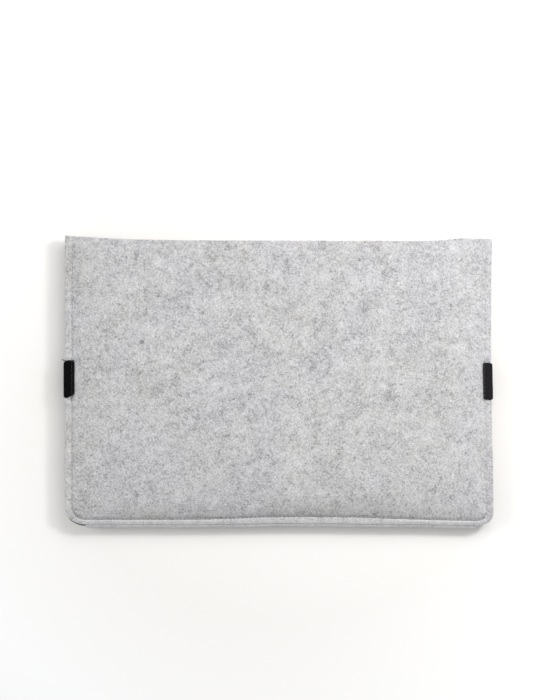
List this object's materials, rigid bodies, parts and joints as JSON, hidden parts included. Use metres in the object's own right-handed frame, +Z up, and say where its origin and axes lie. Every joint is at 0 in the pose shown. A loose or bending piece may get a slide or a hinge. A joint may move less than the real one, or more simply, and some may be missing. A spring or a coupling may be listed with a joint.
{
  "type": "laptop sleeve",
  "caption": "Felt laptop sleeve sewn round the sides and bottom, open along the top, with a black elastic strap wrapped round to the back.",
  "frame": {"origin": "middle of the outer box on the plane that the sleeve rests on", "axes": "+X along the mouth, +Y out of the mouth, +Z up out of the back face; the sleeve lies on its front face"},
  "size_m": [0.3526, 0.24, 0.0214],
  "materials": {
    "felt": "light grey mottled pressed felt",
    "thread": "matt grey sewing thread",
    "elastic": "black ribbed woven elastic"
  },
  "bodies": {
    "root": {"front_panel": "felt", "back_panel_sewn_margin": "felt", "seam_needle_thread": "thread", "seam_bobbin_thread": "thread", "strap_end_left": "elastic", "strap_end_right": "elastic"},
    "back_panel": {"back_panel": "felt"},
    "strap": {"elastic_strap": "elastic"}
  },
  "joints": [
    {"name": "mouth_open", "type": "hinge", "parent": "root", "child": "back_panel", "pos_m": [0, -0.111, 0.0135], "axis": [1, 0, 0], "range_deg": [0, 6]},
    {"name": "strap_lift", "type": "slide", "parent": "root", "child": "strap", "axis": [0, 0, -1], "range_m": [0, 0.02], "stiffness_N_per_m": 100, "springref_m": -0.004}
  ]
}
